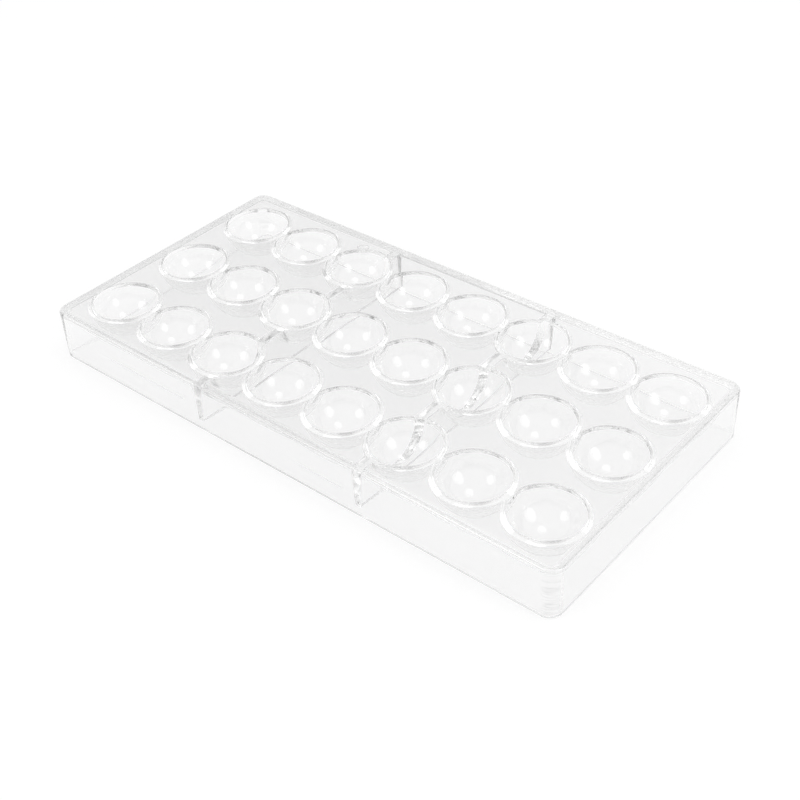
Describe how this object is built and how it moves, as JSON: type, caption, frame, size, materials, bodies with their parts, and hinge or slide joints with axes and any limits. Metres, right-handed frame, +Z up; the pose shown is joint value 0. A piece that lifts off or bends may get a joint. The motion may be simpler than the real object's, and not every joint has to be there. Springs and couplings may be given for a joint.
{
  "type": "chocolate mould",
  "caption": "Clear rigid tray mould with rows of half-round cavities in a flat plate, on a skirt wall with an open, ribbed underside.",
  "frame": {"origin": "under the middle of the tray, on the plane that the rim stands on", "axes": "+X along the length, +Y across the width, +Z up towards the side that is filled"},
  "size_m": [0.275, 0.135, 0.024],
  "materials": {
    "clear_polycarbonate": "clear and polished, with faint tool marks on the upright corners"
  },
  "bodies": {
    "root": {"mould": "clear_polycarbonate"}
  },
  "joints": []
}
